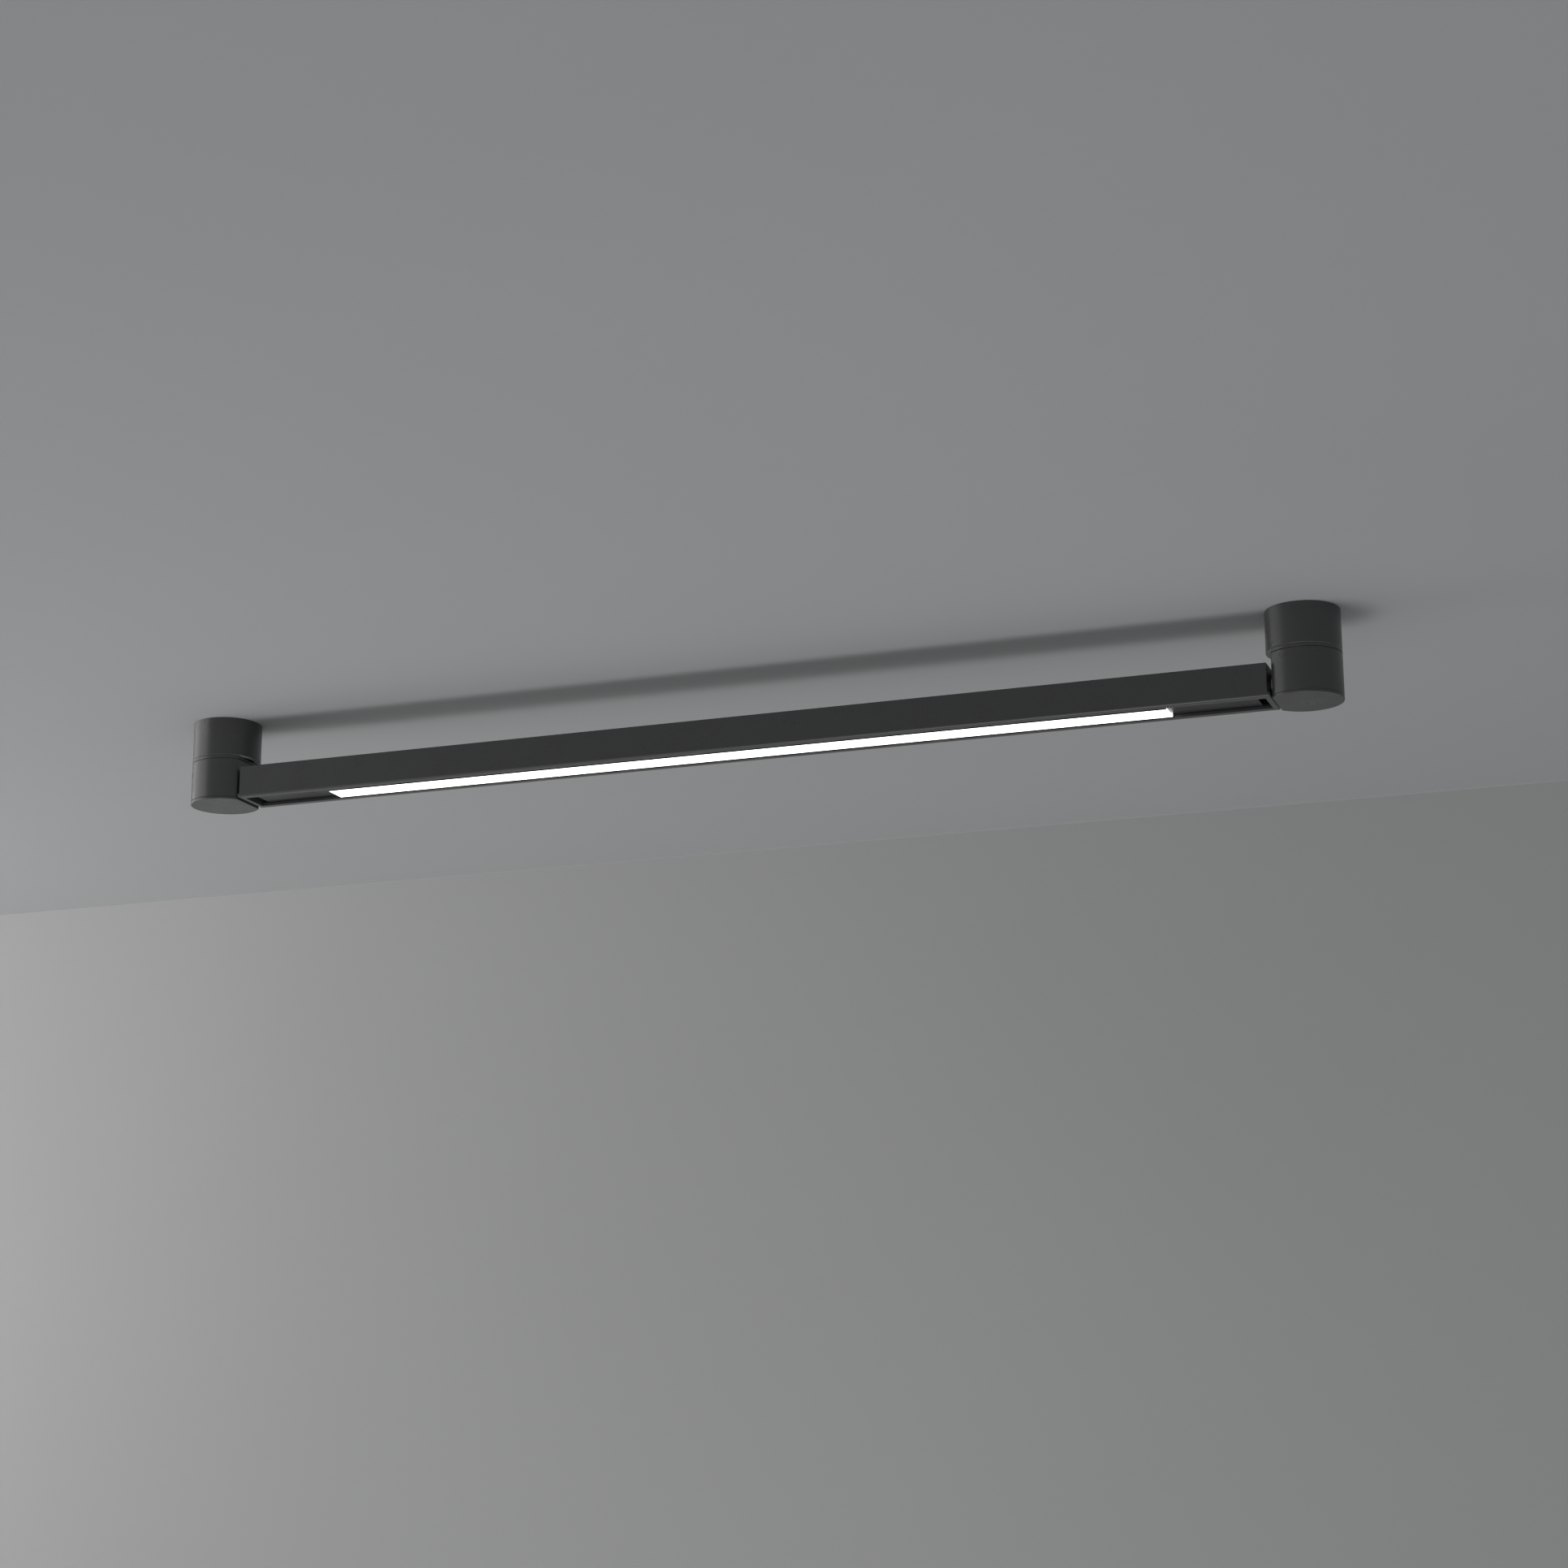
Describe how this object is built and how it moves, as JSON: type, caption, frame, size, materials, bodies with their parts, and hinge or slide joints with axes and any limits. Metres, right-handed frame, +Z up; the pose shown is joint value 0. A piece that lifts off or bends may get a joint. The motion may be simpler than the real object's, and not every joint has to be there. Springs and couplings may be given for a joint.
{
  "type": "ceiling linear LED luminaire",
  "caption": "Linear LED light bar carried between two round swivelling ceiling bases, tilting about its long axis.",
  "frame": {"origin": "centre of the cable entry of base A, in the plane of the ceiling", "axes": "+X along the bar from base A to base B, +Z up to the ceiling, -Y towards the room side shown in the picture"},
  "size_m": [1.198, 0.07, 0.0865],
  "materials": {
    "graphite_coat": "fine matte powder coat, near-black graphite",
    "strip_coat": "fine matte powder coat, black",
    "zinc_steel": "bright zinc plate",
    "black_steel": "blackened steel screws",
    "brass": "turned brass",
    "white_coat": "white lacquer, diffuse reflector",
    "opal": "opal acrylic, lit",
    "board_white": "white solder mask on the board",
    "led_yellow": "phosphor, lit",
    "connector_white": "moulded nylon connector",
    "driver_case": "moulded polycarbonate case",
    "pom_black": "black acetal",
    "seal_rubber": "black silicone rubber",
    "aluminium_mill": "mill finish",
    "lead_white": "white silicone sheath",
    "lead_red": "red low-voltage sheath",
    "terminal_plastic": "moulded terminal block"
  },
  "bodies": {
    "base_a": {"ceiling_plate_a": "zinc_steel", "housing_a": "graphite_coat", "lock_screw_a": "black_steel", "swivel_friction_pad_a": "pom_black", "terminal_block": "terminal_plastic", "base_lead": "lead_white"},
    "head_a": {"head_a": "graphite_coat", "collar_ring_a": "graphite_coat", "head_cap_a": "graphite_coat", "cap_seal_a": "seal_rubber", "swivel_shaft_a": "brass", "swivel_nuts_a": "zinc_steel", "swivel_washers_a": "zinc_steel", "swivel_stop_pin_a": "zinc_steel", "tilt_bush_a": "pom_black", "head_lead": "lead_white"},
    "bar": {"tilt_shaft_a": "brass", "tilt_shaft_b": "brass", "tilt_nuts_a": "zinc_steel", "tilt_nuts_b": "zinc_steel", "tilt_washers_a": "zinc_steel", "tilt_washers_b": "zinc_steel", "tilt_stop_pin_a": "zinc_steel", "tilt_stop_pin_b": "zinc_steel", "end_cap_a": "graphite_coat", "end_cap_b": "graphite_coat", "end_cap_screws_a": "black_steel", "end_cap_screws_b": "black_steel", "cover_strip_a": "strip_coat", "cover_strip_b": "strip_coat", "bar_profile": "graphite_coat", "light_channel": "strip_coat", "diffuser": "opal", "channel_end_plugs": "white_coat", "side_reflectors": "white_coat", "led_board_1": "board_white", "led_board_2": "board_white", "led_board_3": "board_white", "led_chips": "led_yellow", "board_links": "connector_white", "board_screws": "zinc_steel", "gear_tray": "aluminium_mill", "led_driver": "driver_case", "driver_screws": "zinc_steel", "bar_lead": "lead_white", "output_lead": "lead_red"},
    "head_b": {"head_b": "graphite_coat", "collar_ring_b": "graphite_coat", "head_cap_b": "graphite_coat", "cap_seal_b": "seal_rubber", "swivel_shaft_b": "brass", "swivel_nuts_b": "zinc_steel", "swivel_washers_b": "zinc_steel", "swivel_stop_pin_b": "zinc_steel", "tilt_bush_b": "pom_black"},
    "base_b": {"ceiling_plate_b": "zinc_steel", "housing_b": "graphite_coat", "lock_screw_b": "black_steel", "swivel_friction_pad_b": "pom_black"}
  },
  "joints": [
    {"name": "swivel_a", "type": "hinge", "parent": "base_a", "child": "head_a", "pos_m": [0, 0, -0.0397], "axis": [0, 0, 1], "range_deg": [-165, 165]},
    {"name": "bar_tilt", "type": "hinge", "parent": "head_a", "child": "bar", "pos_m": [0.0267, 0, -0.069], "axis": [1, 0, 0], "range_deg": [-22, 22]},
    {"name": "head_b_tilt", "type": "hinge", "parent": "bar", "child": "head_b", "pos_m": [1.1013, 0, -0.069], "axis": [1, 0, 0], "range_deg": [-22, 22]},
    {"name": "swivel_b", "type": "hinge", "parent": "head_b", "child": "base_b", "pos_m": [1.128, 0, -0.0397], "axis": [0, 0, 1], "range_deg": [-165, 165]}
  ],
  "couplings": [
    {"joint": "head_b_tilt", "follows": "bar_tilt", "ratio": -1}
  ]
}
